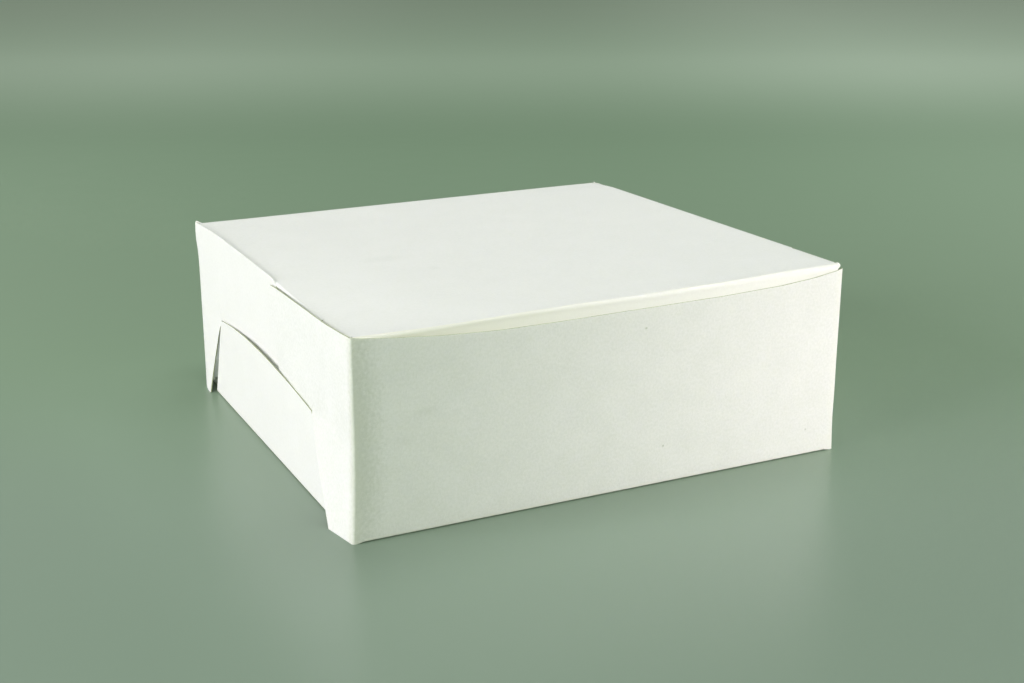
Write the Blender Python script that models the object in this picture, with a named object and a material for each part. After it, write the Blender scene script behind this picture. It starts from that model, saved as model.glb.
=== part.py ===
# One-piece paper cake box, closed.
# Metres, +Z up, front at -Y, origin on the floor under the middle of the box.
# The box is one creased sheet: each panel is an object, and so is each crease, a thin bead on its fold line.

import math

import bpy

# The closed box, outside
box_width = 0.209
box_depth = 0.200
box_height = 0.077

# The board, and the running gap between two layers of it
board = 0.00045
layer_gap = 0.0003

# Creases: a bead on each fold line, with a gap between it and the panels that it joins
bead_radius = 0.00022
bead_gap = 0.0003
bead_sides = 10

# Walls: the front wall's top edge dips in a shallow curve
wall_drop = 0.0004
front_dip = 0.0048

# Side flaps, the outermost layer: their base starts beside the wings' feet.
# Insets of the top corners are from the box's front and back.
foot_to_flap = 0.0008
flap_top_back = 0.0320
flap_top_front = 0.0440
flap_back_height = 0.0382
flap_front_height = 0.0363
flap_arch = 0.0052

# Front wings, under the side flaps: the foot, the slit beside it and the slanted rear edge.
# A drop is measured down from the lid's top.
slit_width = 0.0003
slit_over_flap = 0.0004
front_foot = 0.0168
tick_height = 0.0022
front_wing_reach = 0.0928
front_wing_slant = 0.0237
front_wing_shoulder = 0.0262
front_wing_nose = 0.0173
front_wing_corner_drop = 0.0008
front_wing_mid_drop = 0.0027
front_wing_rear_drop = 0.0045
front_wing_round = 0.0012

# Back wings, under the front wings: the pointed foot, its curved slit and the sloped front corner
back_foot = 0.0168
back_foot_toe = 0.0035
back_foot_heel = 0.0030
back_slit_bow = 0.0038
wing_overlap = 0.0228
back_wing_slant = 0.0120
back_wing_shoulder = 0.0250
back_wing_fall = 0.0027
back_wing_nose = 0.0040

# Lid: the tuck flap on its front edge and the ears on its sides, all hung below its underside
tuck_depth = 0.025
tuck_inset = 0.0075
tuck_taper = 0.0070
tuck_corner = 0.0060
tuck_lean = math.radians(5)
ear_depth = 0.0375
ear_back = 0.006
ear_front = 0.032
ear_back_taper = 0.011
ear_front_taper = 0.016
ear_corner = 0.0080

# Points in each rounded corner, and in each long curve
corner_steps = 5
curve_steps = 20

white_board = (0.86, 0.87, 0.84)
cut_edge_cream = (0.82, 0.80, 0.70)
board_roughness = 0.75

# Worked out from the sizes above
half_width = box_width / 2
half_depth = box_depth / 2
pitch = board + layer_gap
fold_reach = bead_radius + bead_gap
floor_clear = board + layer_gap
flap_base_back = back_foot + foot_to_flap
flap_base_front = front_foot + foot_to_flap
back_wing_reach = box_depth - front_wing_reach + wing_overlap

# Layers of the side walls from the outside in: side flap, front wing, back wing, lid ear
flap_x = half_width - board / 2
front_wing_x = flap_x - pitch
back_wing_x = front_wing_x - pitch
ear_x = back_wing_x - pitch

# Fold lines along the bottom, the top of the back wall and under the lid's edges
base_fold_z = board / 2
lid_fold_z = box_height - board / 2
hung_fold_z = lid_fold_z - pitch
wall_fold_y = half_depth - board / 2
tuck_fold_y = wall_fold_y - pitch

wing_edge = board / 2 + fold_reach
wall_foot = base_fold_z + fold_reach
wall_top = lid_fold_z - fold_reach
hung_top = hung_fold_z - fold_reach


def clear_scene():
    for old in list(bpy.data.objects):
        bpy.data.objects.remove(old, do_unlink=True)


def paper(name, color):
    """A plain board material of its own for one piece."""
    material = bpy.data.materials.new(name)
    material.use_nodes = True
    shader = material.node_tree.nodes["Principled BSDF"]
    shader.inputs["Base Color"].default_value = (*color, 1)
    shader.inputs["Roughness"].default_value = board_roughness
    shader.inputs["Metallic"].default_value = 0
    return material


def fold(name, spot, carrier=None):
    """An empty on a fold line, which carries what turns about it. Returned with its place in the world."""
    empty = bpy.data.objects.new(name, None)
    box.objects.link(empty)
    place(empty, carrier or (None, (0, 0, 0)), spot)
    return empty, spot


def place(piece, carrier, spot, turn=(0, 0, 0)):
    """Put a piece at its place in the world, under the empty that carries it."""
    empty, origin = carrier
    piece.parent = empty
    piece.location = [s - o for s, o in zip(spot, origin)]
    piece.rotation_euler = turn


def rounded(corners):
    """Outline points from corners (u, v), or (u, v, radius) for a round one."""
    points = []
    for i, corner in enumerate(corners):
        if len(corner) == 2:
            points.append(corner)
            continue
        u, v, radius = corner
        before = corners[i - 1]
        after = corners[(i + 1) % len(corners)]
        to_before = math.atan2(before[1] - v, before[0] - u)
        to_after = math.atan2(after[1] - v, after[0] - u)
        opening = (to_after - to_before + math.pi) % math.tau - math.pi
        half = abs(opening) / 2
        middle = to_before + opening / 2
        centre_u = u + math.cos(middle) * radius / math.sin(half)
        centre_v = v + math.sin(middle) * radius / math.sin(half)
        start = to_before - math.copysign(math.pi / 2, opening)
        sweep = math.copysign(math.pi - abs(opening), -opening)
        for step in range(corner_steps + 1):
            angle = start + sweep * step / corner_steps
            points.append((centre_u + radius * math.cos(angle), centre_v + radius * math.sin(angle)))
    return points


def bowed(start, end, bow):
    """Points between start and end on a shallow curve. Its middle is off their straight line by bow, to the left."""
    run_u = end[0] - start[0]
    run_v = end[1] - start[1]
    length = math.hypot(run_u, run_v)
    points = []
    for step in range(1, curve_steps):
        share = step / curve_steps
        side = 4 * bow * share * (1 - share)
        points.append((start[0] + run_u * share - run_v * side / length,
                       start[1] + run_v * share + run_u * side / length))
    return points


def panel(name, outline, carrier, spot, turn=(0, 0, 0)):
    """A flat piece of board: a closed outline, with half the board's thickness to each side of it."""
    curve = bpy.data.curves.new(name, "CURVE")
    curve.dimensions = "2D"
    curve.fill_mode = "BOTH"
    curve.extrude = board / 2
    spline = curve.splines.new("POLY")
    spline.points.add(len(outline) - 1)
    for point, (u, v) in zip(spline.points, outline):
        point.co = (u, v, 0, 1)
    spline.use_cyclic_u = True
    piece = bpy.data.objects.new(name, curve)
    box.objects.link(piece)
    curve.materials.append(paper(name, white_board))
    place(piece, carrier, spot, turn)


def crease(name, length, carrier, spot, turn=(0, 0, 0)):
    """The bead of pressed board on a fold line. It runs along its own Z before it is turned."""
    bpy.ops.mesh.primitive_cylinder_add(vertices=bead_sides, radius=bead_radius, depth=length)
    piece = bpy.context.object
    piece.name = name
    piece.data.name = name
    for collection in list(piece.users_collection):
        collection.objects.unlink(piece)
    box.objects.link(piece)
    piece.data.materials.append(paper(name, cut_edge_cream))
    piece.data.shade_smooth()
    piece.data.set_sharp_from_angle(angle=math.radians(60))
    place(piece, carrier, spot, turn)


# Turns that lay an outline's own X and Y, or a bead's own Z, along the box's axes
facing_front = (math.pi / 2, 0, 0)
running_back = (math.pi / 2, 0, math.pi / 2)
running_front = (math.pi / 2, 0, -math.pi / 2)
along_x = (0, math.pi / 2, 0)
along_y = (math.pi / 2, 0, 0)


def bottom_panel():
    """Widest where the side flaps fold, and narrower at the corners, inside the wings."""
    wide = flap_x - fold_reach
    front_narrow = front_wing_x - board / 2 - layer_gap
    back_narrow = back_wing_x - board / 2 - layer_gap
    end = wall_fold_y - fold_reach
    front_step = flap_base_front - half_depth
    back_step = half_depth - flap_base_back
    right = [(front_narrow, -end), (front_narrow, front_step), (wide, front_step),
             (wide, back_step), (back_narrow, back_step), (back_narrow, end)]
    left = [(-x, y) for x, y in reversed(right)]
    panel("bottom_panel", right + left, base, (0, 0, base_fold_z))


def front_panel():
    side = front_wing_x - fold_reach
    top = box_height - wall_drop
    outline = [(-side, wall_foot), (side, wall_foot), (side, top)]
    outline += bowed((side, top), (-side, top), front_dip)
    outline += [(-side, top)]
    panel("front_panel", outline, front_wall, (0, -wall_fold_y, 0), facing_front)
    crease("front_panel_crease", 2 * side, base, (0, -wall_fold_y, base_fold_z), along_x)


def back_panel():
    side = back_wing_x - fold_reach
    outline = [(-side, wall_foot), (side, wall_foot), (side, wall_top), (-side, wall_top)]
    panel("back_panel", outline, back_wall, (0, wall_fold_y, 0), facing_front)
    crease("back_panel_crease", 2 * side, base, (0, wall_fold_y, base_fold_z), along_x)


def front_wing(side, sign):
    """Outline in distance from the box's front and height over the floor, with its crease at the corner."""
    slit_top = flap_front_height + slit_over_flap
    foot_side = flap_top_front - slit_width / 2
    wing_side = flap_top_front + slit_width / 2
    lift_run = (flap_top_front - front_foot) * floor_clear / slit_top
    outline = rounded([
        (wing_edge, 0),
        (front_foot - slit_width / 2, 0),
        (foot_side, slit_top),
        (foot_side, slit_top + tick_height),
        (wing_side, slit_top + tick_height),
        (wing_side, slit_top),
        (front_foot + slit_width / 2 + lift_run, floor_clear),
        (front_wing_reach - front_wing_slant, floor_clear),
        (front_wing_reach, box_height - front_wing_rear_drop, front_wing_round),
        (front_wing_reach - front_wing_nose, box_height - front_wing_mid_drop),
        (front_wing_shoulder, box_height - front_wing_mid_drop),
        (wing_edge, box_height - front_wing_corner_drop),
    ])
    panel(f"front_wing_{side}", outline, front_wall, (sign * front_wing_x, -half_depth, 0), running_back)
    crease(f"front_wing_crease_{side}", wall_top - wall_foot, front_wall,
           (sign * front_wing_x, -wall_fold_y, (wall_top + wall_foot) / 2))


def back_wing(side, sign):
    """Outline in distance from the box's back and height over the floor, with its crease at the corner."""
    top = box_height - wall_drop
    slit_top = flap_back_height + slit_over_flap
    foot_tip = (back_foot - slit_width / 2, 0)
    foot_top = (flap_top_back - slit_width / 2, slit_top)
    wing_tip = (back_foot + slit_width / 2, floor_clear)
    wing_top = (flap_top_back + slit_width / 2, slit_top)
    outline = [(wing_edge, back_foot_heel), (back_foot_toe, 0), foot_tip]
    outline += bowed(foot_tip, foot_top, back_slit_bow)
    outline += [foot_top, wing_top]
    outline += bowed(wing_top, wing_tip, -back_slit_bow)
    outline += [
        wing_tip,
        (back_wing_reach - back_wing_slant, floor_clear),
        (back_wing_reach, top - back_wing_fall - back_wing_nose),
        (back_wing_reach - back_wing_nose, top - back_wing_fall),
        (back_wing_reach - back_wing_shoulder, top),
        (wing_edge, top),
    ]
    panel(f"back_wing_{side}", outline, back_wall, (sign * back_wing_x, half_depth, 0), running_front)
    crease(f"back_wing_crease_{side}", wall_top - wall_foot, back_wall,
           (sign * back_wing_x, wall_fold_y, (wall_top + wall_foot) / 2))


def side_flap(side, sign):
    """Outline in distance from the box's back and height over the floor, with its crease on the bottom's edge."""
    carrier = fold(f"side_flap_fold_{side}", (sign * flap_x, 0, base_fold_z), base)
    top_back = (flap_top_back, flap_back_height)
    top_front = (box_depth - flap_top_front, flap_front_height)
    outline = [(flap_base_back, wall_foot), (box_depth - flap_base_front, wall_foot), top_front]
    outline += bowed(top_front, top_back, -flap_arch)
    outline += [top_back]
    panel(f"side_flap_{side}", outline, carrier, (sign * flap_x, half_depth, 0), running_front)
    length = box_depth - flap_base_front - flap_base_back
    middle = (flap_base_front - flap_base_back) / 2
    crease(f"side_flap_crease_{side}", length, base, (sign * flap_x, middle, base_fold_z), along_y)


def lid_panel():
    """It lies over the creases of the ears and of the tuck flap, so that these can fold flat under it."""
    side = ear_x + board / 2
    front = -tuck_fold_y - board / 2
    back = wall_fold_y - fold_reach
    panel("lid_panel", [(-side, front), (side, front), (side, back), (-side, back)], lid, (0, 0, lid_fold_z))
    crease("lid_crease", 2 * side, back_wall, (0, wall_fold_y, lid_fold_z), along_x)


def lid_tuck_flap():
    """Outline down from the tuck crease. It leans in, and so clears the front wall when the lid swings."""
    carrier = fold("tuck_fold", (0, -tuck_fold_y, hung_fold_z), lid)
    root = half_width - tuck_inset
    tip = root - tuck_taper
    outline = rounded([
        (-tip, -tuck_depth, tuck_corner),
        (tip, -tuck_depth, tuck_corner),
        (root, -fold_reach),
        (-root, -fold_reach),
    ])
    turn = (math.pi / 2 + tuck_lean, 0, 0)
    panel("lid_tuck_flap", outline, carrier, (0, -tuck_fold_y, hung_fold_z), turn)
    crease("tuck_crease", 2 * root, lid, (0, -tuck_fold_y, hung_fold_z), along_x)


def lid_ear(side, sign):
    """Outline in distance from the box's back and height over the floor, with its crease under the lid's edge."""
    carrier = fold(f"lid_ear_fold_{side}", (sign * ear_x, 0, hung_fold_z), lid)
    root_front = box_depth - ear_front
    low = hung_fold_z - ear_depth
    outline = rounded([
        (ear_back + ear_back_taper, low, ear_corner),
        (root_front - ear_front_taper, low, ear_corner),
        (root_front, hung_top),
        (ear_back, hung_top),
    ])
    panel(f"lid_ear_{side}", outline, carrier, (sign * ear_x, half_depth, 0), running_front)
    middle = (ear_front - ear_back) / 2
    crease(f"lid_ear_crease_{side}", root_front - ear_back, lid, (sign * ear_x, middle, hung_fold_z), along_y)


clear_scene()
box = bpy.data.collections.new("paper_box")
bpy.context.scene.collection.children.link(box)

base = fold("base", (0, 0, 0))
front_wall = fold("front_wall_fold", (0, -wall_fold_y, base_fold_z), base)
back_wall = fold("back_wall_fold", (0, wall_fold_y, base_fold_z), base)
lid = fold("lid_fold", (0, wall_fold_y, lid_fold_z), back_wall)

bottom_panel()
front_panel()
back_panel()
lid_panel()
lid_tuck_flap()
for side, sign in (("left", -1), ("right", 1)):
    side_flap(side, sign)
    front_wing(side, sign)
    back_wing(side, sign)
    lid_ear(side, sign)
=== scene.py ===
"""A closed one-piece paper cake box on a pale floor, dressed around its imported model.

Every panel is a sheet of board cut and folded to shape.
Every fold that turns at a joint is a strip of its own.
"""

import math

import bmesh
import bpy
from mathutils import Matrix, Vector


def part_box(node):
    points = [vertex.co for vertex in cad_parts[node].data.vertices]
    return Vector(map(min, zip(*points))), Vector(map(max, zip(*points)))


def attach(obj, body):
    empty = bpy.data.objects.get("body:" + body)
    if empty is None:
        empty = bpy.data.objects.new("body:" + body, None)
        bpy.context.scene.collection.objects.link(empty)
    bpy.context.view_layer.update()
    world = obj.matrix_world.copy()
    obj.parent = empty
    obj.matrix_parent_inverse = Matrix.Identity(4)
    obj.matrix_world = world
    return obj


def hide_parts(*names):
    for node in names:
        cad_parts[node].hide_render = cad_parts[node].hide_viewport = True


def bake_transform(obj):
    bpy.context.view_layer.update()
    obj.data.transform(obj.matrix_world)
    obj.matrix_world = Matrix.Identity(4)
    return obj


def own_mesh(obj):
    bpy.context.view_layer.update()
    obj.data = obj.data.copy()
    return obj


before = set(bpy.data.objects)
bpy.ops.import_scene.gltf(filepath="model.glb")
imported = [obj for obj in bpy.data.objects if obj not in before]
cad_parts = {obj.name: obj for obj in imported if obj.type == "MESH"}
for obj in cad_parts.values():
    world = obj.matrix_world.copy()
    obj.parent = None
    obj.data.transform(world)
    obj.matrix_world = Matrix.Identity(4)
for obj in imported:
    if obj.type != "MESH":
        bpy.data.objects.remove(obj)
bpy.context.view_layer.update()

# The board, and the step from one layer of it to the next
board = 0.00045
half_board = board / 2
layer_gap = 0.00005
layer_step = board + layer_gap

# How far the bottom is off the floor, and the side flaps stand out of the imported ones
bottom_clear = 0.00015
flap_out = 0.00005

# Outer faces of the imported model
front_face = -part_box("front_panel")[0].y
lid_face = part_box("lid_panel")[1].z
side_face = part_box("side_flap_right")[1].x

# Middles of the sheets, between their two faces
wall_y = front_face - half_board
lid_z = lid_face - half_board
bottom_z = bottom_clear + half_board
flap_x = side_face + flap_out - half_board
front_wing_x = flap_x - layer_step
back_wing_x = front_wing_x - layer_step
ear_x = back_wing_x - layer_step
tuck_y = wall_y - layer_step

# Folds: the radius of each bend at the middle of the board, and the flat lead at both ends of a fold strip
corner_round = 0.0008
base_round = 0.0007
hung_round = 0.00085
back_round = 0.0008
lead = 0.0004
fold_steps = 6

# How near to a line counts as on it: for a middle, a cut edge and a fold's end.
# The last is for a slit, where the test is an area.
on_line = 1e-5
on_edge = 1e-6
on_end = 2e-6
on_slit = 1e-8

# Tall enough for every upright sheet before its top edge is shaped, and where that shaping starts
sheet_top = 0.0776
crown_start = 0.045

# Side flaps, and the wings' slits that hold their slanted ends
flap_base = front_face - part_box("side_flap_left")[1].y
foot_to_flap = 0.0008
slit_foot = flap_base - foot_to_flap
flap_top_back = (0.0320, 0.0382)
flap_top_front = (0.0440, 0.0363)
flap_arch = 0.0052
front_slit_over = 0.0006
back_slit_over = 0.0002
front_slit_top = (flap_top_front[0], flap_top_front[1] + front_slit_over)
back_slit_top = (flap_top_back[0], flap_top_back[1] + back_slit_over)
back_slit_bow = 0.0037
tick_height = 0.0022

# The wings' bottom edges behind the slits are clear of the side flaps' folds
wing_clear = 0.0013

# A face this near to a wing's plane, or further out, is part of the wing
near_wing = 0.0002

# Where a corner crease is pressed: from a little before its bend, and fading over this length
press_start = 0.0002
press_fade = 0.0006

quarter = math.pi / 2

# Turns that stand a grid up along the box's width or its depth
upright = (quarter, 0, 0)
upright_side = (quarter, 0, quarter)
flat = (0, 0, 0)

# Share of a soft line's bend between two of its points
line_softness = 0.35

# Edges that meet at less than this are shaded as one face
smooth_angle = math.radians(40)


def smooth(share):
    """0 to 1 with a soft start and end."""
    share = min(1, max(0, share))
    return share * share * (3 - 2 * share)


def along(points, at):
    """Height at a place on a soft line through (place, height) points."""
    if at <= points[0][0]:
        return points[0][1]
    for (a, low), (b, high) in zip(points, points[1:]):
        if at <= b:
            share = (at - a) / (b - a)
            return low + (high - low) * (line_softness * smooth(share) + (1 - line_softness) * share)
    return points[-1][1]


def only(piece):
    """Make one piece the only one selected, and the active one."""
    bpy.ops.object.select_all(action="DESELECT")
    piece.select_set(True)
    bpy.context.view_layer.objects.active = piece


def middle_of(part):
    return sum((corner.co for corner in part.verts), Vector()) / len(part.verts)


def sheet(name, columns, rows, low, high, turn):
    """A flat grid between two corners, its own X and Y along the two sides that aren't zero."""
    bpy.ops.object.select_all(action="DESELECT")
    middle = [(a + b) / 2 for a, b in zip(low, high)]
    sides = [b - a for a, b in zip(low, high)]
    width, height = [side for side in sides if side]
    bpy.ops.mesh.primitive_grid_add(x_subdivisions=columns, y_subdivisions=rows, size=1,
                                    location=middle, rotation=turn)
    piece = bpy.context.object
    piece.name = name
    piece.data.name = name
    piece.scale = (width, height, 1)
    bpy.ops.object.transform_apply(location=True, rotation=True, scale=True)
    return piece


def choose(piece, kind, test):
    """In edit mode, select only the faces or the edges whose middle passes the test."""
    bpy.ops.mesh.select_mode(type=kind)
    bpy.ops.mesh.select_all(action="DESELECT")
    mesh = bmesh.from_edit_mesh(piece.data)
    for part in (mesh.faces if kind == "FACE" else mesh.edges):
        if test(middle_of(part)):
            part.select_set(True)
    bmesh.update_edit_mesh(piece.data)


def cut(piece, point, outward, where=None, drop=True):
    """Cut the chosen faces along a plane. What lies outward of it falls away, unless drop is false."""
    only(piece)
    bpy.ops.object.mode_set(mode="EDIT")
    choose(piece, "FACE", where or (lambda middle: True))
    bpy.ops.mesh.bisect(plane_co=point, plane_no=outward, clear_outer=drop, threshold=on_edge)
    bpy.ops.object.mode_set(mode="OBJECT")


def remove_faces(piece, test):
    only(piece)
    bpy.ops.object.mode_set(mode="EDIT")
    choose(piece, "FACE", test)
    bpy.ops.mesh.delete(type="FACE")
    bpy.ops.object.mode_set(mode="OBJECT")


def slit(piece, test):
    """Part the sheet along the edges that pass the test."""
    only(piece)
    bpy.ops.object.mode_set(mode="EDIT")
    choose(piece, "EDGE", test)
    bpy.ops.mesh.edge_split(type="EDGE")
    bpy.ops.object.mode_set(mode="OBJECT")


def turn_edge(piece, test, centre, axis, angle, steps=fold_steps):
    """Spin the chosen outline edges about a line, to make a rounded fold."""
    only(piece)
    bpy.ops.object.mode_set(mode="EDIT")
    choose(piece, "EDGE", test)
    bpy.ops.mesh.spin(steps=steps, angle=angle, center=centre, axis=axis)
    bpy.ops.object.mode_set(mode="OBJECT")


def draw_out(piece, test, move, times=1):
    """Extrude the chosen outline edges, again and again."""
    only(piece)
    bpy.ops.object.mode_set(mode="EDIT")
    choose(piece, "EDGE", test)
    for _ in range(times):
        bpy.ops.mesh.extrude_region_move(TRANSFORM_OT_translate={"value": move})
    bpy.ops.object.mode_set(mode="OBJECT")


def shape(piece, move):
    """Move each vertex to where the function says."""
    for vertex in piece.data.vertices:
        vertex.co = move(vertex.co.copy())
    piece.data.update()


def corners_of(piece, test):
    """The numbers of the vertices of the faces whose middle passes the test."""
    found = set()
    for face in piece.data.polygons:
        if test(face.center):
            found.update(face.vertices)
    return found


def tuck_in_normals(piece):
    only(piece)
    bpy.ops.object.mode_set(mode="EDIT")
    bpy.ops.mesh.select_all(action="SELECT")
    bpy.ops.mesh.normals_make_consistent(inside=False)
    bpy.ops.object.mode_set(mode="OBJECT")


def both_sides(piece):
    """Add the mirror image over x = 0 and join it on."""
    only(piece)
    mirror = piece.modifiers.new("mirror", "MIRROR")
    mirror.merge_threshold = on_line
    bpy.ops.object.modifier_apply(modifier=mirror.name)


def press(piece, test):
    """Mark where the board was pressed for a fold, for the materials to read."""
    mark = piece.data.attributes.new("pressed", "FLOAT", "POINT")
    for vertex, value in zip(piece.data.vertices, mark.data):
        value.value = test(vertex.co)


def thicken(piece, face, edge):
    """Give the sheet the board's thickness, half to each side, with cut edges all round."""
    piece.data.materials.clear()
    piece.data.materials.append(face)
    piece.data.materials.append(edge)
    tuck_in_normals(piece)
    wall = piece.modifiers.new("board", "SOLIDIFY")
    wall.thickness = board
    wall.offset = 0
    wall.use_even_offset = True
    wall.material_offset_rim = 1
    bpy.ops.object.modifier_apply(modifier=wall.name)
    tuck_in_normals(piece)
    bpy.ops.object.shade_smooth_by_angle(angle=smooth_angle)


def stand_on_floor(piece):
    shape(piece, lambda place: Vector((place.x, place.y, max(0, place.z))))


def mirrored(piece, name):
    """A copy with its own mesh, on the other side of x = 0."""
    copy = piece.copy()
    copy.data = piece.data.copy()
    copy.name = name
    copy.data.name = name
    bpy.context.scene.collection.objects.link(copy)
    copy.data.transform(Matrix.Scale(-1, 4, Vector((1, 0, 0))))
    tuck_in_normals(copy)
    return copy


def stands_for(piece, slot, *nodes):
    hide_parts(*nodes)


# Materials
cloud_scale = 70
mottle_scale = 900
fibre_scale = 2600
fibre_stretch = (1, 1, 0.30)
ragged_scale = 700
floor_scale = 30
# Colour of the marks, and of the painted shade on the front wall's left corner
mark_and_shade_tint = (0.38, 0.43, 0.32, 1)
glow_light = (0.30, 0.34, 0.30, 1)
no_light = (0, 0, 0, 1)
board_specular = 0.25
board_subsurface = 0.30
board_subsurface_reach = (1.0, 1.0, 0.8)
board_subsurface_scale = 0.0008


def new_group(name, inputs, outputs):
    group = bpy.data.node_groups.new(name, "ShaderNodeTree")
    for socket, kind, value in inputs:
        made = group.interface.new_socket(name=socket, in_out="INPUT", socket_type=kind)
        if value is not None:
            made.default_value = value
    for socket, kind in outputs:
        group.interface.new_socket(name=socket, in_out="OUTPUT", socket_type=kind)
    nodes = group.nodes
    return group, nodes, group.links, nodes.new("NodeGroupInput"), nodes.new("NodeGroupOutput")


def wire(links, value, socket):
    """Link another node's output to the socket, or put a plain value on it."""
    if hasattr(value, "links"):
        links.new(value, socket)
    else:
        socket.default_value = value


def number(nodes, links, operation, *values):
    node = nodes.new("ShaderNodeMath")
    node.operation = operation
    for value, socket in zip(values, node.inputs):
        wire(links, value, socket)
    return node.outputs[0]


def vector(nodes, links, operation, *values, out="Vector"):
    node = nodes.new("ShaderNodeVectorMath")
    node.operation = operation
    for value, socket in zip(values, node.inputs):
        wire(links, value, socket)
    return node.outputs[out]


def ranged(nodes, links, value, start, end, low=0, high=1, soft=False):
    """Low at the value start, and high at the value end."""
    node = nodes.new("ShaderNodeMapRange")
    if soft:
        node.interpolation_type = "SMOOTHSTEP"
    for name, at in (("From Min", start), ("From Max", end), ("To Min", low), ("To Max", high)):
        node.inputs[name].default_value = at
    links.new(value, node.inputs["Value"])
    return node.outputs["Result"]


def noise_at(nodes, links, vector, scale, detail, rough=0.5):
    node = nodes.new("ShaderNodeTexNoise")
    node.inputs["Scale"].default_value = scale
    node.inputs["Detail"].default_value = detail
    node.inputs["Roughness"].default_value = rough
    links.new(vector, node.inputs["Vector"])
    return node.outputs["Fac"]


def mix_colors(nodes, links, mask, one, two, blend="MIX"):
    node = nodes.new("ShaderNodeMix")
    node.data_type = "RGBA"
    node.blend_type = blend
    links.new(mask, node.inputs[0])
    wire(links, one, node.inputs[6])
    wire(links, two, node.inputs[7])
    return node.outputs[2]


def make_board_group():
    """Uncoated board: a cloudy tone, fine fibres, a creamy tint where pressed, and the height for a bump."""
    group, nodes, links, given, out = new_group(
        "board_surface",
        [("Tone", "NodeSocketColor", (0.86, 0.87, 0.84, 1)),
         ("Cloud", "NodeSocketColor", (0.825, 0.838, 0.802, 1)),
         ("Cream", "NodeSocketColor", (0.92, 0.91, 0.80, 1)),
         ("Pressed", "NodeSocketFloat", 0.0)],
        [("Color", "NodeSocketColor"), ("Roughness", "NodeSocketFloat"), ("Height", "NodeSocketFloat")])
    place = nodes.new("ShaderNodeTexCoord").outputs["Object"]
    clouds = noise_at(nodes, links, place, cloud_scale, 3)
    mottle = noise_at(nodes, links, place, mottle_scale, 4, 0.65)
    stretch = nodes.new("ShaderNodeMapping")
    stretch.inputs["Scale"].default_value = fibre_stretch
    links.new(place, stretch.inputs["Vector"])
    fibres = noise_at(nodes, links, stretch.outputs["Vector"], fibre_scale, 3, 0.7)
    fine = number(nodes, links, "MULTIPLY_ADD", fibres, 1.5, clouds)
    together = number(nodes, links, "MULTIPLY_ADD", mottle, 2.4, fine)
    share = ranged(nodes, links, together, 2.05, 2.85)
    tone = mix_colors(nodes, links, share, given.outputs["Tone"], given.outputs["Cloud"])
    tint = mix_colors(nodes, links, given.outputs["Pressed"], tone, given.outputs["Cream"])
    links.new(tint, out.inputs["Color"])
    links.new(ranged(nodes, links, mottle, 0, 1, 0.66, 0.84), out.inputs["Roughness"])
    links.new(number(nodes, links, "MULTIPLY_ADD", fibres, 0.6, mottle), out.inputs["Height"])
    return group


def make_mark_group():
    """A soft round or long mask about one place on the board, for marks, for painted shade and for a painted
    glow.
    """
    group, nodes, links, given, out = new_group(
        "soft_mark",
        [("Place", "NodeSocketVector", None), ("Size", "NodeSocketVector", (0.001, 0.001, 0.001)),
         ("Strength", "NodeSocketFloat", 0.1)],
        [("Mask", "NodeSocketFloat")])
    here = nodes.new("ShaderNodeTexCoord").outputs["Object"]
    away = vector(nodes, links, "SUBTRACT", here, given.outputs["Place"])
    scaled = vector(nodes, links, "DIVIDE", away, given.outputs["Size"])
    length = vector(nodes, links, "LENGTH", scaled, out="Value")
    edge_noise = noise_at(nodes, links, here, ragged_scale, 2)
    ragged = number(nodes, links, "MULTIPLY_ADD", edge_noise, 0.9, length)
    fade = ranged(nodes, links, ragged, 0.6, 1.6, 1, 0, soft=True)
    links.new(number(nodes, links, "MULTIPLY", fade, given.outputs["Strength"]), out.inputs["Mask"])
    return group


def make_board(name, marks=(), pressed=None, bump=0.5, tone=None, cloud=None, depth=0.0001, glow=None):
    """A board material, with soft marks and painted shade as (place, size, strength) and a painted glow as
    (place, size).
    """
    material = bpy.data.materials.new(name)
    material.use_nodes = True
    nodes, links = material.node_tree.nodes, material.node_tree.links
    shader = nodes["Principled BSDF"]
    shader.inputs["Specular IOR Level"].default_value = board_specular
    shader.inputs["Subsurface Weight"].default_value = board_subsurface
    shader.inputs["Subsurface Radius"].default_value = board_subsurface_reach
    shader.inputs["Subsurface Scale"].default_value = board_subsurface_scale
    surface = nodes.new("ShaderNodeGroup")
    surface.node_tree = board_group
    if tone:
        surface.inputs["Tone"].default_value = tone
        surface.inputs["Cloud"].default_value = cloud
    if pressed is None:
        read = nodes.new("ShaderNodeAttribute")
        read.attribute_name = "pressed"
        links.new(read.outputs["Fac"], surface.inputs["Pressed"])
    else:
        surface.inputs["Pressed"].default_value = pressed
    color = surface.outputs["Color"]
    # Soft marks mixed in with their tint; one of them is painted shade
    for place, size, strength in marks:
        mark = nodes.new("ShaderNodeGroup")
        mark.node_tree = mark_group
        mark.inputs["Place"].default_value = place
        mark.inputs["Size"].default_value = size
        mark.inputs["Strength"].default_value = strength
        color = mix_colors(nodes, links, mark.outputs["Mask"], color, mark_and_shade_tint)
    links.new(color, shader.inputs["Base Color"])
    if glow:
        # Painted light: a glow in the emission, standing in for light that comes through the thin board
        mark = nodes.new("ShaderNodeGroup")
        mark.node_tree = mark_group
        mark.inputs["Place"].default_value, mark.inputs["Size"].default_value = glow
        mark.inputs["Strength"].default_value = 1
        lit = mix_colors(nodes, links, mark.outputs["Mask"], no_light, glow_light)
        links.new(lit, shader.inputs["Emission Color"])
        shader.inputs["Emission Strength"].default_value = 1
    links.new(surface.outputs["Roughness"], shader.inputs["Roughness"])
    relief = nodes.new("ShaderNodeBump")
    relief.inputs["Strength"].default_value = bump
    relief.inputs["Distance"].default_value = depth
    links.new(surface.outputs["Height"], relief.inputs["Height"])
    links.new(relief.outputs["Normal"], shader.inputs["Normal"])
    return material


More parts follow.
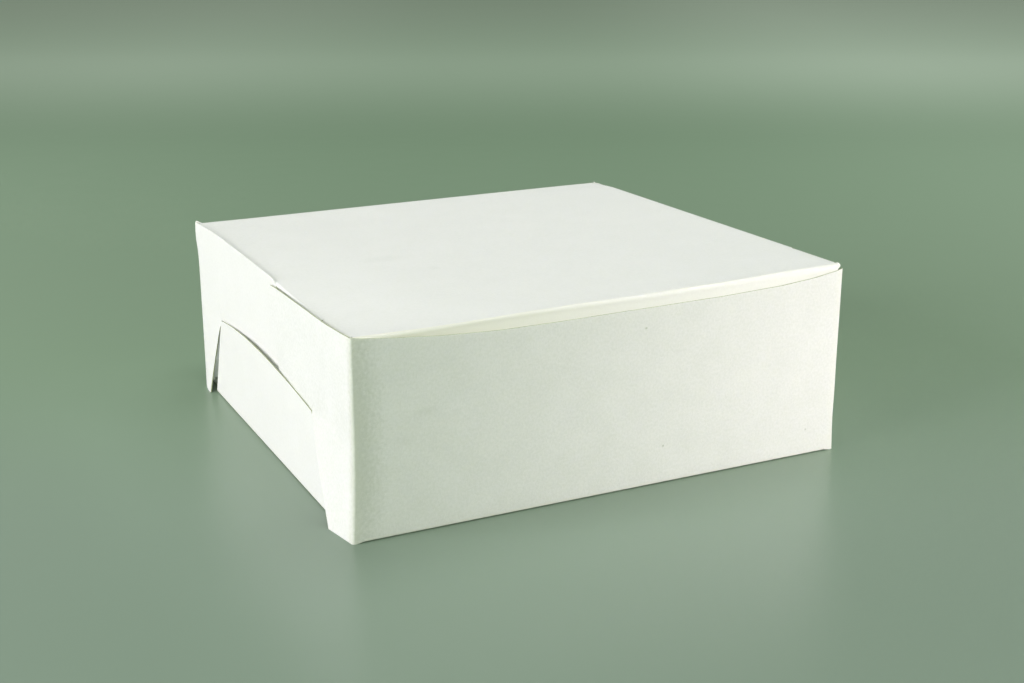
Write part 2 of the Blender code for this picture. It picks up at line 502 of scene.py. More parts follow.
def make_floor_material():
    """A pale grey-green table top, a little glossy, with painted light: its colour grows lighter towards the
    back, so it stays even as the light falls off, and towards both sides.
    """
    material = bpy.data.materials.new("table_top")
    material.use_nodes = True
    nodes, links = material.node_tree.nodes, material.node_tree.links
    shader = nodes["Principled BSDF"]
    place = nodes.new("ShaderNodeTexCoord").outputs["Object"]
    # How far back, along the line on which the camera looks
    far = vector(nodes, links, "DOT_PRODUCT", place, away_from_camera, out="Value")
    ramp = nodes.new("ShaderNodeValToRGB")
    ramp.color_ramp.interpolation = "EASE"
    for _ in range(len(floor_tones) - 2):
        ramp.color_ramp.elements.new(0.5)
    for stop, (place_at, tone) in zip(ramp.color_ramp.elements, floor_tones):
        stop.position = (place_at - floor_start) / (floor_end - floor_start)
        stop.color = tone
    links.new(ranged(nodes, links, far, floor_start, floor_end), ramp.inputs["Fac"])
    # Painted light: lighter towards both sides
    aside = vector(nodes, links, "DOT_PRODUCT", place, across_camera, out="Value")
    tone = ramp.outputs["Color"]
    for start, end, light in floor_sides:
        side = ranged(nodes, links, aside, start, end, soft=True)
        tone = mix_colors(nodes, links, side, tone, light, "MULTIPLY")
    links.new(tone, shader.inputs["Base Color"])
    uneven = noise_at(nodes, links, place, floor_scale, 3)
    links.new(ranged(nodes, links, uneven, 0, 1, 0.30, 0.36), shader.inputs["Roughness"])
    return material


# Painted light on the floor: its tones by distance back, and what lightens it from start to end towards
# either side
away_from_camera = (0.44, 0.90, 0)
across_camera = (0.90, -0.44, 0)
floor_start = -0.6
floor_end = 2.6
floor_tones = [(floor_start, (0.228, 0.305, 0.238, 1)),
               (-0.15, (0.222, 0.298, 0.231, 1)),
               (0.10, (0.228, 0.330, 0.224, 1)),
               (0.70, (0.250, 0.375, 0.250, 1)),
               (1.40, (0.54, 0.70, 0.54, 1)),
               (floor_end, (0.72, 0.86, 0.72, 1))]
floor_sides = ((0.05, 0.55, (1.42, 1.34, 1.42, 1)),
               (-0.05, -0.50, (1.22, 1.17, 1.22, 1)))

board_group = make_board_group()
mark_group = make_mark_group()

# Marks and painted shade as (place, size, strength): three specks, a weak smudge in three parts, and painted
# shade that greys the front's left corner
front_marks_and_painted_shade = [((0.0141, -0.1, 0.0647), (0.0007, 0.002, 0.0005), 0.55),
               ((0.0231, -0.1, 0.0157), (0.0006, 0.002, 0.0006), 0.5),
               ((0.0915, -0.1, 0.011), (0.0006, 0.002, 0.0006), 0.45),
               ((-0.0765, -0.1, 0.046), (0.0050, 0.004, 0.0022), 0.07),
               ((-0.0645, -0.1, 0.044), (0.0024, 0.004, 0.0016), 0.08),
               ((-0.0845, -0.1, 0.036), (0.0040, 0.004, 0.0030), 0.05),
               # Painted shade: the front wall greyer towards its left corner
               ((-0.1045, -0.1, 0.038), (0.0130, 0.004, 0.0700), 0.36)]
lid_marks = [((-0.0535, -0.003, 0.077), (0.012, 0.006, 0.004), 0.05),
             ((-0.0405, -0.0255, 0.077), (0.0035, 0.0035, 0.004), 0.06)]
# Painted light: the back wall glows in its lower left corner, as (place, size)
back_painted_glow = ((-0.0985, 0.0992, 0.013), (0.009, 0.0009, 0.022))

white_board = make_board("white_board")
# Painted light and shade: the front wall's copy of the one board gets a lighter tone and a darker cloud, so
# its mottle shows as grazing light would show it
front_board_painted_shade = make_board("white_board_front_painted_shade", front_marks_and_painted_shade, bump=1.0, depth=0.00016,
                         tone=(0.875, 0.885, 0.855, 1), cloud=(0.805, 0.822, 0.780, 1))
lid_board = make_board("white_board_lid", lid_marks)
back_board = make_board("white_board_back", glow=back_painted_glow)
pressed_board = make_board("white_board_pressed", pressed=0.30)
# Cut edges: a little darker and creamier, as a cut edge is, and darkened further to olive as painted shade
# of the narrow gaps along them
cut_edge_and_gap_shade = make_board("cut_edge_and_gap_shade", pressed=0, tone=(0.48, 0.52, 0.34, 1), cloud=(0.38, 0.42, 0.26, 1))
table_top = make_floor_material()


# Front wall with its wings.
# The top edges are (place along the wall, height) points, and (distance from the front, height) on a wing.
wing_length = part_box("front_wing_left")[1].y + front_face
front_top = [(-0.1045, 0.0769), (-0.0984, 0.0759), (-0.0855, 0.0745), (-0.0667, 0.0730), (-0.0470, 0.0721),
             (-0.0230, 0.0721), (0.0110, 0.0725), (0.0470, 0.0729), (0.0750, 0.0738), (0.0900, 0.0750),
             (0.1017, 0.0767), (0.1045, 0.0773)]
wing_top = [(0.0, 0.0769), (0.0075, 0.0763), (0.0252, 0.0757), (0.0452, 0.0754), (0.0654, 0.0750),
            (0.0810, 0.0747), (0.0885, 0.0742), (0.0928, 0.0730)]

# How far the wing bows out at its top and is pushed out by the side flap, and its foot stands off
wing_bow = 0.0008
flap_push = 0.0006
corner_flare = 0.00135
flare_run = 0.009
front_foot_reach = 0.0046

# The slit, the tick, the nub under the corner and the slanted rear edge
front_slit_span = (-0.095, -0.05)
tick_span = (-0.07, -0.045)
tick_half = 0.00015
tick_beside = 0.006
front_nub_side = 0.1031
front_nub_start = 0.1024
front_nub_end = 0.1000
front_nub_slant = 0.0005
rear_edge_height = 0.0725
rear_edge_facing = (0, 0.0719, -0.0237)

# How far the right corner stands out, and how creamy the corner creases are
right_spread = 0.0014
right_spread_low = 0.0006
front_press = 0.2


def on_front_wing(middle):
    return abs(middle.x) > front_wing_x - near_wing


def front_foot_flare(away, height):
    """How far a front foot stands out, by its distance from the front and its height."""
    rise = 1 - height / front_slit_top[1]
    if rise <= 0:
        return 0
    reach = slit_foot + (front_slit_top[0] - slit_foot) * height / front_slit_top[1]
    near = corner_flare * rise ** 1.5
    free = front_foot_reach * rise ** 0.65
    return near + (free - near) * min(1, max(0, away) / reach)


def make_front_wall():
    bend_x = front_wing_x - corner_round
    bend_y = -wall_y + corner_round
    piece = sheet("front_wall_sheet", 26, 18, (-bend_x, -wall_y, 0), (0, -wall_y, sheet_top), upright)
    turn_edge(piece, lambda m: abs(m.x + bend_x) < on_line, (-bend_x, bend_y, 0), (0, 0, 1), quarter)
    steps = 24
    run = (wing_length - front_face - bend_y) / steps
    draw_out(piece, lambda m: m.x < -front_wing_x + on_line, (0, run, 0), steps)

    # The foot's slit and the tick over it
    slit_y = -front_face + slit_foot
    top_y = -front_face + front_slit_top[0]
    top_z = front_slit_top[1]
    run_y, run_z = top_y - slit_y, top_z
    for height in (top_z, top_z + tick_height / 2, top_z + tick_height):
        cut(piece, (0, 0, height), (0, 0, 1), on_front_wing, drop=False)
    cut(piece, (0, slit_y, 0), (0, run_z, -run_y),
        lambda m: on_front_wing(m) and m.z < top_z and front_slit_span[0] < m.y < front_slit_span[1],
        drop=False)
    cut(piece, (0, top_y, 0), (0, 1, 0),
        lambda m: (on_front_wing(m) and top_z < m.z < top_z + tick_height
                   and tick_span[0] < m.y < tick_span[1]), drop=False)

    def past_slit(m):
        return (m.y - slit_y) * run_z - m.z * run_y

    slit(piece, lambda m: on_front_wing(m) and m.z < top_z and abs(past_slit(m)) < on_slit
         or on_front_wing(m) and abs(m.y - top_y) < on_edge and top_z < m.z < top_z + tick_height)

    # The nub of the corner, and the edge that the bottom fold joins
    fold_z = bottom_z + base_round + lead
    nub, nub_end = -front_nub_start, -front_nub_end

    def in_front(m):
        return m.x > -front_nub_side and m.y < -wall_y + on_line

    cut(piece, (nub_end, 0, 0), (1, 0, 0), in_front, drop=False)
    cut(piece, (0, 0, fold_z), (0, 0, 1), in_front, drop=False)
    remove_faces(piece, lambda m: m.x > nub_end and m.z < fold_z)
    cut(piece, (nub, 0, 0), (1, 0, 0), lambda m: in_front(m) and m.x < nub_end and m.z < fold_z, drop=False)
    cut(piece, (nub, 0, 0), (front_nub_slant, 0, nub - nub_end),
        lambda m: nub < m.x < nub_end and m.z < fold_z)

    cut(piece, (0, 0, wing_clear), (0, 0, -1), lambda m: on_front_wing(m) and past_slit(m) > 0)

    feet = corners_of(piece, lambda m: m.z < top_z and past_slit(m) < 0)
    for index, vertex in enumerate(piece.data.vertices):
        place = vertex.co
        if index in feet:
            near = smooth(1 - (place.x + bend_x) / flare_run) if place.x > -bend_x else 1
            place.x -= front_foot_flare(place.y + front_face, place.z) * near

    # Open the tick
    half_tick = top_z + tick_height / 2
    for face in piece.data.polygons:
        if abs(face.center.y - top_y) < tick_beside:
            for index in face.vertices:
                place = piece.data.vertices[index].co
                if abs(place.z - half_tick) < on_edge and abs(place.y - top_y) < on_edge:
                    place.y += math.copysign(tick_half, face.center.y - top_y)

    def crown_wing(place):
        if place.x > -front_wing_x + on_line:
            return place
        away = place.y + front_face
        share = max(0, (place.z - crown_start) / (sheet_top - crown_start))
        place.z += (along(wing_top, away) - sheet_top) * share
        high = smooth((place.z - 0.040) / 0.034)
        place.x -= wing_bow * smooth(away / 0.030) * high
        behind_flap = smooth((away - 0.046) / 0.018) * smooth((place.z - 0.018) / 0.022) * (1 - high)
        place.x -= flap_push * behind_flap
        return place

    shape(piece, crown_wing)

    # The slanted rear edge
    rear_y = -front_face + wing_length
    cut(piece, (0, rear_y, rear_edge_height), rear_edge_facing, on_front_wing)
    both_sides(piece)

    def crown_front(place):
        # The right corner stands out a little further than the left one
        out = smooth((place.x - 0.080) / 0.024) * smooth((0.075 - front_face - place.y) / 0.060)
        high = smooth((place.z - 0.008) / 0.024)
        place.x += out * (right_spread_low + (right_spread - right_spread_low) * high)
        if abs(place.x) >= front_wing_x - on_line and place.y > -wall_y + on_line:
            return place
        share = max(0, (place.z - crown_start) / (sheet_top - crown_start))
        place.z += (along(front_top, place.x) - sheet_top) * share
        return place

    shape(piece, crown_front)
    press(piece, lambda place: front_press
          * smooth(1 - max(0, bend_x + press_start - abs(place.x)) / press_fade)
          * smooth(1 - max(0, place.y - bend_y - press_start) / press_fade))
    thicken(piece, front_board_painted_shade, cut_edge_and_gap_shade)
    stand_on_floor(piece)
    stands_for(piece, "white_board", "front_panel", "front_wing_left", "front_wing_right",
               "front_wing_crease_left", "front_wing_crease_right")
    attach(piece, "front_wall")


# Back wall with its wings. A wing's top edge is (distance from the back, height) points.
back_reach = front_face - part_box("back_wing_left")[0].y
back_top = [(0, 0.0776), (0.0006, 0.0769), (0.0012, 0.0767), (0.004, 0.0770), (0.1080, 0.0767),
            (0.1120, 0.0762), (0.1150, 0.0745), (0.1165, 0.0735), (0.130, 0.0722)]

# How far the corner and its foot stand out, and where the slit runs
rear_swell = 0.00145
rear_swell_run = 0.040
back_slit_span = (0.055, 0.095)
back_slit_body = 0.2
back_foot_reach = 0.00255
back_foot_step = 0.00055
flap_rest = 0.0004
corner_peak = 0.0725
corner_stand = 0.0008

# The nub under the corner, the wing's sloped front corner, and the top edge beside the lid's fold
back_nub_end = 0.0995
back_nub_height = 0.0005
back_nub_slant = (0.0005, 0, -0.0035)
nose_height = 0.070
nose_facing = (0, -0.075, -0.012)
lid_fold_half = 0.1022
join_dip = 0.0008
white_edge_from = 0.0742
back_press = 0.15


def on_back_wing(middle):
    return abs(middle.x) > back_wing_x - near_wing


def swell(away):
    """How far the side's layers stand out near the back corner."""
    return rear_swell * smooth(1 - away / rear_swell_run)


def back_foot_flare(away, height):
    reach = slit_foot + (back_slit_top[0] - slit_foot) * height / back_slit_top[1]
    free = back_foot_reach * max(0, 1 - height / 0.026) ** 1.7
    free += back_foot_step * min(1, max(0, back_slit_top[1] - height) / 0.004)
    return free * math.sin(quarter * min(1, away / reach) ** 1.1)


def stand_out(place, bend_x):
    """How far the back corner stands out from the layers that hold the wing, most at its top."""
    beside = abs(place.x) > bend_x - on_edge
    away = front_face - place.y if beside else 0
    near = 1 if beside else smooth((abs(place.x) - 0.030) / 0.070)
    below = (place.z - corner_peak) / (0.0075 if place.z < corner_peak else 0.0090)
    return near * (swell(away) + corner_stand * math.exp(-below * below) * smooth(1 - away / 0.018))


def make_back_wall():
    bend_x = back_wing_x - corner_round
    bend_y = wall_y - corner_round
    piece = sheet("back_wall_sheet", 26, 18, (-bend_x, wall_y, 0), (0, wall_y, sheet_top), upright)
    turn_edge(piece, lambda m: abs(m.x + bend_x) < on_line, (-bend_x, bend_y, 0), (0, 0, 1), -quarter)
    steps = 43
    run = (back_reach - (front_face - bend_y)) / steps
    draw_out(piece, lambda m: m.x < -back_wing_x + on_line, (0, -run, 0), steps)

    slit_y = front_face - slit_foot
    top_y = front_face - back_slit_top[0]
    top_z = back_slit_top[1]
    run_y, run_z = top_y - slit_y, top_z
    cut(piece, (0, 0, top_z), (0, 0, 1), on_back_wing, drop=False)
    cut(piece, (0, slit_y, 0), (0, run_z, -run_y),
        lambda m: on_back_wing(m) and m.z < top_z and back_slit_span[0] < m.y < back_slit_span[1],
        drop=False)

    def past_slit(m):
        return run_y * m.z - (m.y - slit_y) * run_z

    slit(piece, lambda m: on_back_wing(m) and m.z < top_z and abs(past_slit(m)) < on_slit)

    fold_z = bottom_z + base_round + lead
    nub_end = -back_nub_end

    def behind(m):
        return m.y > wall_y - on_line

    cut(piece, (nub_end, 0, 0), (1, 0, 0), behind, drop=False)
    cut(piece, (0, 0, fold_z), (0, 0, 1), behind, drop=False)
    remove_faces(piece, lambda m: m.x > nub_end and m.z < fold_z)
    cut(piece, (nub_end, 0, back_nub_height), back_nub_slant,
        lambda m: behind(m) and m.x < nub_end and m.z < fold_z)
    cut(piece, (0, 0, wing_clear), (0, 0, -1), lambda m: on_back_wing(m) and past_slit(m) > 0)

    feet = corners_of(piece, lambda m: m.z < top_z and past_slit(m) < 0)
    for index, vertex in enumerate(piece.data.vertices):
        place = vertex.co
        away = front_face - place.y
        beside = place.x < -bend_x + on_edge
        # The slit is bowed towards the corner
        if beside and place.z < top_z:
            share = place.z / top_z
            at = slit_foot + (back_slit_top[0] - slit_foot) * share
            pull = 4 * back_slit_bow * share * (1 - share)
            if index in feet:
                shift = pull * max(0, away - 0.001) / (at - 0.001)
            else:
                shift = back_slit_body * pull * smooth(1 - (away - at) / 0.024)
            place.y += shift
            away -= shift
        out = back_foot_flare(away, place.z) if index in feet and beside else 0
        # Under the flap's rear end the wing lies close to it
        out += (flap_rest * smooth((away - 0.030) / 0.010) * smooth((0.080 - away) / 0.020)
                * smooth((place.z - 0.024) / 0.012) * smooth((0.062 - place.z) / 0.012))
        place.x -= out + stand_out(place, bend_x)

    def crown(place):
        share = max(0, (place.z - crown_start) / (sheet_top - crown_start))
        if place.x < -bend_x + on_edge:
            place.z += (along(back_top, front_face - place.y) - sheet_top) * share
        return place

    shape(piece, crown)
    cut(piece, (0, front_face - back_reach, nose_height), nose_facing, on_back_wing)
    both_sides(piece)

    def in_line(place):
        # The right corner stands in line
        if place.x > 0:
            place.x -= stand_out(place, bend_x)
        return place

    shape(piece, in_line)
    # The top edge that the lid's fold joins goes down with the lid
    join_z = lid_z - back_round - lead
    for sign in (-1, 1):
        cut(piece, (sign * lid_fold_half, 0, 0), (1, 0, 0), behind, drop=False)
    cut(piece, (0, 0, join_z), (0, 0, 1), behind, drop=False)
    remove_faces(piece, lambda m: behind(m) and abs(m.x) < lid_fold_half and m.z > join_z)

    def settle_top(place):
        if place.y > wall_y - on_line:
            past = smooth((abs(place.x) - lid_fold_half) / 0.0025)
            high = smooth((place.z - 0.055) / 0.020)
            dip = join_dip * max(0, (place.z - join_z) / 0.002)
            place.z += (1 - past) * (lid_lift(place.x, place.y) * high - dip)
        return place

    shape(piece, settle_top)
    press(piece, lambda place: back_press * smooth(1 - max(0, bend_x - abs(place.x)) / press_fade)
          * smooth(1 - max(0, bend_y - press_start - place.y) / press_fade))
    thicken(piece, back_board, cut_edge_and_gap_shade)
    stand_on_floor(piece)
    # The wings' top edges near the lid take the face's material instead of the cut edges' painted gap shade,
    # so they meet the lid with no dark line
    for face in piece.data.polygons:
        if face.material_index == 1 and face.center.z > white_edge_from:
            face.material_index = 0
    stands_for(piece, "white_board", "back_panel", "back_wing_left", "back_wing_right",
               "back_wing_crease_left", "back_wing_crease_right")
    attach(piece, "back_wall")


# Bottom: narrow at its corners, between the wings, and wide at the side flaps' folds
bottom_narrow = 0.1023
bottom_step = 0.0002


def make_bottom():
    side = flap_x - base_round - lead
    end = wall_y - base_round - lead
    wide_end = front_face - flap_base - bottom_step
    piece = sheet("bottom_sheet", 40, 38, (-side, -end, bottom_z), (side, end, bottom_z), flat)
    for sign in (-1, 1):
        cut(piece, (sign * bottom_narrow, 0, 0), (sign, 0, 0), drop=False)
        cut(piece, (0, sign * wide_end, 0), (0, sign, 0), drop=False)
    remove_faces(piece, lambda m: abs(m.x) > bottom_narrow and abs(m.y) > wide_end)
    press(piece, lambda place: 0)
    thicken(piece, white_board, cut_edge_and_gap_shade)
    stands_for(piece, "white_board", "bottom_panel")
    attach(piece, "base")


# Side flaps
flap_bulge = 0.0015
flap_sheet_top = 0.0440


def flap_crown(place_y):
    """Height of the arched edge, by the place along the box."""
    start = front_face - flap_top_back[0]
    end = -front_face + flap_top_front[0]
    share = (start - place_y) / (start - end)
    line = flap_top_back[1] + (flap_top_front[1] - flap_top_back[1]) * share
    return line + 4 * flap_arch * share * (1 - share)


def make_side_flap():
    low = bottom_z + base_round + lead
    top = flap_sheet_top
    base = front_face - flap_base
    piece = sheet("side_flap_left_sheet", 54, 14, (-flap_x, -base, low), (-flap_x, base, top), upright_side)

    def crown(place):
        share = (place.z - low) / (top - low)
        place.z += (flap_crown(place.y) - top) * share
        return place

    shape(piece, crown)
    back = front_face - flap_top_back[0]
    front = front_face - flap_top_front[0]
    cut(piece, (0, base, low), (0, flap_top_back[1] - low, base - back))
    cut(piece, (0, -base, low), (0, low - flap_top_front[1], base - front))

    def bow(place):
        share = min(1, max(0, (place.y + front) / (back + front)))
        out = flap_bulge * math.sin(math.pi * share) ** 0.9 * (1.12 - 0.40 * share)
        place.x -= out * (max(0, place.z - low) / 0.040) ** 1.3
        return place

    shape(piece, bow)
    press(piece, lambda place: 0)
    thicken(piece, white_board, cut_edge_and_gap_shade)
    for flap, side, sign in ((piece, "left", -1), (mirrored(piece, "side_flap_right_sheet"), "right", 1)):
        stands_for(flap, "white_board", f"side_flap_{side}")
        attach(flap, f"{side}_side_flap")
        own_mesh(flap)


# Lid and what hangs from it
ear_front_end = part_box("lid_ear_left")[0].y
ear_back_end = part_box("lid_ear_left")[1].y
ear_depth = lid_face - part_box("lid_ear_left")[0].z
ear_front_taper = 0.016
ear_back_taper = 0.011
ear_corner = 0.0065
corner_turns = [math.radians(22.5 * step) for step in range(1, 4)]
ear_lean = math.radians(2)

# The lid's turned-down lip and its tabs beside the back fold
lip_end = -0.0972
lip_turn = math.radians(75)
lip_step = 0.0007
tab_side = 0.1036
tab_droop = 0.0005
edge_press = 0.35

# How far the lid's face rises, falls and sags, and its left and right edges stand out
rise_back = 0.0010
rise_front = 0.0015
back_left_fall = 0.0008
front_left_sag = 0.0008
left_spread = 0.0003
lid_spread = 0.0019
roll_start = -0.070


def roll_depth(x):
    """How far the fold's start is set back from the tuck flap."""
    return along([(-0.103, 0.0012), (-0.050, 0.0014), (0.0, 0.0021), (0.045, 0.0026), (0.080, 0.0030),
                  (0.103, 0.0018)], x)


def lid_droop(y):
    """How far the lid's left edge goes down into the gap behind the front wing."""
    return along([(-0.100, 0.0004), (-0.0965, 0.0006), (-0.0915, 0.0012), (-0.084, 0.0021), (-0.060, 0.0023),
                  (-0.040, 0.0022), (-0.024, 0.0018), (-0.008, 0.0013), (0.015, 0.0010), (0.045, 0.0007),
                  (0.075, 0.0003), (0.095, 0.0)], y)


def lid_lift(x, y):
    """How far the lid's face stands over or under its flat place."""
    across = max(0, (x + 0.1045) / 0.209)
    forward = (front_face - y) / 0.2
    right = across ** 4 * (rise_back * smooth((0.0985 - y) / 0.02) + rise_front * forward)
    back_left = back_left_fall * smooth((y - 0.01) / 0.08) * min(1, max(0, (0.08 - x) / 0.16))
    sag = front_left_sag * math.exp(-((x + 0.068) / 0.026) ** 2) * smooth((-0.060 - y) / 0.040)
    edge = min(1, max(0, (-0.062 - x) / 0.0405))
    return right - back_left - sag - lid_droop(y) * edge ** 1.3


def lid_settle(piece):
    """Lift and sag a piece with the lid, and let the lid's edges stand out with the walls."""

    def move(place):
        share = smooth((place.z - 0.055) / 0.020)
        high = smooth((place.z - 0.0745) / 0.0020)
        rim = smooth((abs(place.x) - 0.092) / 0.009)
        place.z += lid_lift(place.x, place.y) * share
        if place.x < 0:
            place.x -= rim * (swell(front_face - place.y) + left_spread * high)
        else:
            place.x += rim * high * lid_spread * min(1, (front_face - place.y) / 0.2)
        return place

    shape(piece, move)


def make_lid():
    back = wall_y - back_round - lead
    front = tuck_y - hung_round - lead
    side = ear_x - hung_round - lead
    piece = sheet("lid_sheet", 42, 40, (-tab_side, -front, lid_z), (tab_side, back, lid_z), flat)
    for sign in (-1, 1):
        cut(piece, (sign * side, 0, 0), (sign, 0, 0), drop=False)
    for y in (lip_end, ear_front_end, ear_back_end):
        cut(piece, (0, y, 0), (0, 1, 0), drop=False)
    remove_faces(piece, lambda m: abs(m.x) > side and m.y < ear_back_end)

    # In front of the ears the edge turns down in a narrow lip
    for sign in (-1, 1):
        centre = (sign * side, 0, lid_z - hung_round)
        turn_edge(piece, lambda m: abs(m.x - sign * side) < on_edge and lip_end < m.y < ear_front_end,
                  centre, (0, 1, 0), -sign * lip_turn)
        end_x = side + hung_round * math.sin(lip_turn)
        way = Vector((sign * math.cos(lip_turn), 0, -math.sin(lip_turn)))
        draw_out(piece, lambda m: (abs(abs(m.x) - end_x) < on_end and m.x * sign > 0
                                   and m.z < lid_z - on_line), way * lip_step, 2)

    def roll(place):
        share = smooth((roll_start - place.y) / (front + roll_start))
        place.y += (roll_depth(place.x) - hung_round) * share
        if place.y > ear_back_end - on_line and abs(place.x) > side:
            place.z -= tab_droop * ((abs(place.x) - side) / (tab_side - side)) ** 2
        return place

    shape(piece, roll)
    press(piece, lambda place: edge_press if abs(place.x) > side + on_line else 0)
    thicken(piece, lid_board, cut_edge_and_gap_shade)
    lid_settle(piece)
    stands_for(piece, "white_board", "lid_panel")
    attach(piece, "lid")


def make_ear():
    top = lid_z - hung_round - lead
    low = lid_z - ear_depth
    piece = sheet("lid_ear_left_sheet", 36, 10, (-ear_x, ear_front_end, low), (-ear_x, ear_back_end, top),
                  upright_side)
    drop = top - low
    cut(piece, (0, ear_front_end, top), (0, -drop, -ear_front_taper))
    cut(piece, (0, ear_back_end, top), (0, drop, -ear_back_taper))
    for turn in corner_turns:
        height = low + ear_corner - ear_corner * math.cos(turn)
        for sign, corner in ((-1, ear_front_end + ear_front_taper + ear_corner),
                             (1, ear_back_end - ear_back_taper - ear_corner)):
            cut(piece, (0, corner + sign * ear_corner * math.sin(turn), height),
                (0, sign * math.sin(turn), -math.cos(turn)))
    hinge = Vector((-ear_x + hung_round, 0, lid_z - hung_round))
    lean = Matrix.Translation(hinge) @ Matrix.Rotation(-ear_lean, 4, "Y") @ Matrix.Translation(-hinge)
    piece.data.transform(lean)
    press(piece, lambda place: 0)
    thicken(piece, white_board, cut_edge_and_gap_shade)
    for ear, side in ((piece, "left"), (mirrored(piece, "lid_ear_right_sheet"), "right")):
        lid_settle(ear)
        stands_for(ear, "white_board", f"lid_ear_{side}")
        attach(ear, f"{side}_ear")


# Tuck flap: where its fold strip ends, half its width there, and its slanted ends and round corners
tuck_join = 0.0712
tuck_half = 0.1028
tuck_drop = 0.0255
tuck_cut = 0.012
tuck_corner = 0.006
tuck_lean = 0.04


def make_tuck_flap():
    low = lid_z - tuck_drop
    piece = sheet("tuck_flap_sheet", 40, 8, (-tuck_half, -tuck_y, low), (tuck_half, -tuck_y, tuck_join),
                  upright)
    corner = tuck_half - tuck_cut - tuck_corner
    for sign in (-1, 1):
        cut(piece, (sign * tuck_half, 0, tuck_join), (sign * (tuck_join - low), 0, -tuck_cut))
        for turn in corner_turns:
            height = low + tuck_corner * (1 - math.cos(turn))
            cut(piece, (sign * (corner + tuck_corner * math.sin(turn)), 0, height),
                (sign * math.sin(turn), 0, -math.cos(turn)))

    def lean(place):
        place.y += tuck_lean * max(0, tuck_join - place.z)
        return place

    shape(piece, lean)
    press(piece, lambda place: 0)
    thicken(piece, white_board, cut_edge_and_gap_shade)
    lid_settle(piece)
    stands_for(piece, "white_board", "lid_tuck_flap")
    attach(piece, "tuck_flap")


# Fold strips. The bottom ones end at the nubs of the walls' corners.
front_fold_ends = (-0.1010, 0.1016)
back_fold_ends = (-0.10095, 0.0995)


def strip(name, out, start, reach, height, up, radius, angle, columns, drop=lead, rows=1):
    """A rounded fold that leaves a level panel: out is the way it goes, start where its lead begins."""
    near = start * out
    far = near + out * lead
    along_y = abs(out.x) > 0.5
    if along_y:
        low = Vector((min(near.x, far.x), reach[0], height))
        high = Vector((max(near.x, far.x), reach[1], height))
    else:
        low = Vector((reach[0], min(near.y, far.y), height))
        high = Vector((reach[1], max(near.y, far.y), height))
    piece = sheet(name, 1 if along_y else columns, columns if along_y else 1, low, high, flat)
    edge = far.dot(out)
    centre = far + Vector((0, 0, height + up * radius))
    axis = out.cross(Vector((0, 0, up)))
    turn_edge(piece, lambda m: abs(m.dot(out) - edge) < on_edge, centre, axis, -angle)
    end = centre + out * radius * math.sin(angle) - Vector((0, 0, up * radius * math.cos(angle)))
    way = out * math.cos(angle) + Vector((0, 0, up * math.sin(angle)))
    draw_out(piece, lambda m: abs(m.dot(out) - end.dot(out)) < on_end and abs(m.z - end.z) < on_end,
             way * drop / rows, rows)
    return piece


def finish_strip(piece, face, node, settle=False, tint=lambda place: 0):
    press(piece, tint)
    thicken(piece, face, cut_edge_and_gap_shade)
    if settle:
        lid_settle(piece)
    stands_for(piece, "crease", node)
    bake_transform(piece)


def make_bottom_folds():
    reach = wall_y - base_round - lead
    for side, sign, ends in (("front", -1, front_fold_ends), ("back", 1, back_fold_ends)):
        piece = strip(f"{side}_bottom_fold", Vector((0, sign, 0)), reach, ends,
                      bottom_z, 1, base_round, quarter, 40)
        finish_strip(piece, pressed_board, f"{side}_panel_crease")
    reach = flap_x - base_round - lead
    half = front_face - flap_base
    for side, sign in (("left", -1), ("right", 1)):
        piece = strip(f"side_flap_fold_{side}_strip", Vector((sign, 0, 0)), reach, (-half, half),
                      bottom_z, 1, base_round, quarter, 40)
        finish_strip(piece, pressed_board, f"side_flap_crease_{side}")


def make_lid_folds():
    reach = ear_x - hung_round - lead
    for side, sign in (("left", -1), ("right", 1)):
        piece = strip(f"lid_ear_fold_{side}_strip", Vector((sign, 0, 0)), reach,
                      (ear_front_end, ear_back_end), lid_z, -1, hung_round, quarter + ear_lean, 36)
        finish_strip(piece, white_board, f"lid_ear_crease_{side}",
                     settle=True)
    piece = strip("lid_back_fold", Vector((0, 1, 0)), wall_y - back_round - lead,
                  (-lid_fold_half, lid_fold_half), lid_z, -1, back_round, quarter, 42)
    finish_strip(piece, white_board, "lid_crease",
                 settle=True)


# The front bend leans back by roll_lean, and turns from the lid to the tuck flap between two heights
roll_lean = 0.0010


def make_front_roll():
    """The lid's front bend, softer to the right, which shows over the front wall's dip."""
    piece = strip("lid_front_fold", Vector((0, -1, 0)), tuck_y - hung_round - lead, (-tuck_half, tuck_half),
                  lid_z, -1, hung_round, quarter, 42, drop=lid_z - hung_round - tuck_join, rows=5)
    centre_y = -tuck_y + hung_round
    centre_z = lid_z - hung_round

    def roll(place):
        depth = roll_depth(place.x)
        fall = 0.8 * depth + 0.0002
        lean = roll_lean * smooth((place.x + tuck_half) / 0.050) * smooth((tuck_half - place.x) / 0.030)
        if place.y > centre_y - on_edge:
            place.y += depth - hung_round
        elif place.z > centre_z - on_edge:
            turn = math.atan2(centre_y - place.y, place.z - centre_z)
            place.y = -tuck_y + lean + (depth - lean) * (1 - math.sin(turn) ** 1.15)
            place.z = lid_z - fall * (1 - math.cos(turn)) ** 0.9
        else:
            share = (centre_z - place.z) / (centre_z - tuck_join)
            place.y += lean * (1 - share)
            place.z = lid_z - fall - share * (lid_z - fall - tuck_join)
        return place

    shape(piece, roll)
    finish_strip(piece, white_board, "tuck_crease",
                 settle=True,
                 tint=lambda place: 0.9 - 0.6 * smooth((place.x + 0.09) / 0.12))


make_bottom()
make_front_wall()
make_back_wall()
make_side_flap()
make_lid()
make_ear()
make_tuck_flap()
make_bottom_folds()
make_lid_folds()
make_front_roll()


# Floor, large enough that its end shows from no side
floor_size = 60
bpy.ops.object.select_all(action="DESELECT")
bpy.ops.mesh.primitive_plane_add(size=floor_size, location=(0, 0, 0))
floor = bpy.context.object
floor.name = "floor"
bpy.ops.object.transform_apply(location=True, rotation=True, scale=True)
floor.data.materials.append(table_top)


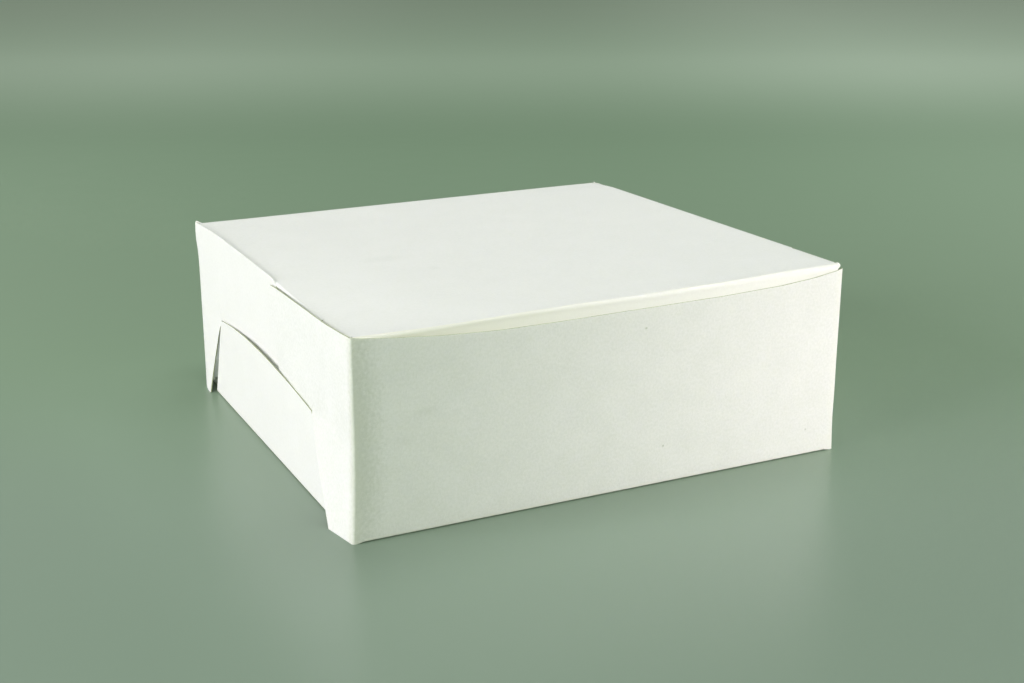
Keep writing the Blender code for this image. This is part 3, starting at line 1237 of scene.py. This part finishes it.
# Camera at the photo's angle
azimuth = math.radians(-26.12)
elevation = math.radians(17.42)
focal_px = 1471
image_width = 1024
sensor_width = 36
camera_distance = 0.6416
look_at_height = 0.039
shift_right = 0.0060
shift_up = -0.0055
level = math.cos(elevation)
back = Vector((math.sin(azimuth) * level, -math.cos(azimuth) * level, math.sin(elevation)))
right = Vector((math.cos(azimuth), math.sin(azimuth), 0))
up = back.cross(right)
camera_data = bpy.data.cameras.new("camera")
camera_data.sensor_width = sensor_width
camera_data.lens = focal_px / image_width * sensor_width
camera_data.clip_start = 0.01
camera_data.clip_end = 50
camera = bpy.data.objects.new("camera", camera_data)
bpy.context.scene.collection.objects.link(camera)
camera.rotation_mode = "QUATERNION"
camera.rotation_quaternion = Matrix((right, up, back)).transposed().to_quaternion()
middle = Vector((0, 0, look_at_height)) + right * shift_right + up * shift_up
camera.location = middle + back * camera_distance
bpy.context.scene.camera = camera


# Light
def soft_lamp(name, place, target, size, power, color, spread=math.pi):
    """An area lamp that shines from its place to the target and can't be seen itself."""
    data = bpy.data.lights.new(name, "AREA")
    data.spread = spread
    data.shape = "RECTANGLE"
    data.size, data.size_y = size
    data.energy = power
    data.color = color
    lamp = bpy.data.objects.new(name, data)
    bpy.context.scene.collection.objects.link(lamp)
    lamp.visible_camera = False
    lamp.location = place
    lamp.rotation_mode = "QUATERNION"
    lamp.rotation_quaternion = (Vector(target) - Vector(place)).to_track_quat("-Z", "Y")


soft_lamp("left_key", (-1.40, -0.12, 0.46), (0, 0, 0.03), (1.0, 0.7), 19.3, (1.0, 0.94, 0.99))
soft_lamp("top_fill", (0.45, 0.1, 1.8), (0, 0, 0), (1.5, 1.5), 22.0, (1.0, 0.99, 1.0))
soft_lamp("right_fill", (1.1, -1.35, 0.10), (0.155, -0.1, 0.052), (0.12, 0.12), 0.245, (1.0, 0.875, 0.93),
          math.radians(17))
soft_lamp("camera_fill", (-0.62, -1.28, 0.46), (0, -0.05, 0.04), (0.5, 0.4), 3.6, (0.74, 0.97, 0.64))

world = bpy.data.worlds.new("world")
bpy.context.scene.world = world
world.use_nodes = True
sky = world.node_tree.nodes["Background"]
sky.inputs["Color"].default_value = (0.76, 0.92, 0.70, 1)
sky.inputs["Strength"].default_value = 0.20

bpy.context.scene.view_settings.view_transform = "Standard"
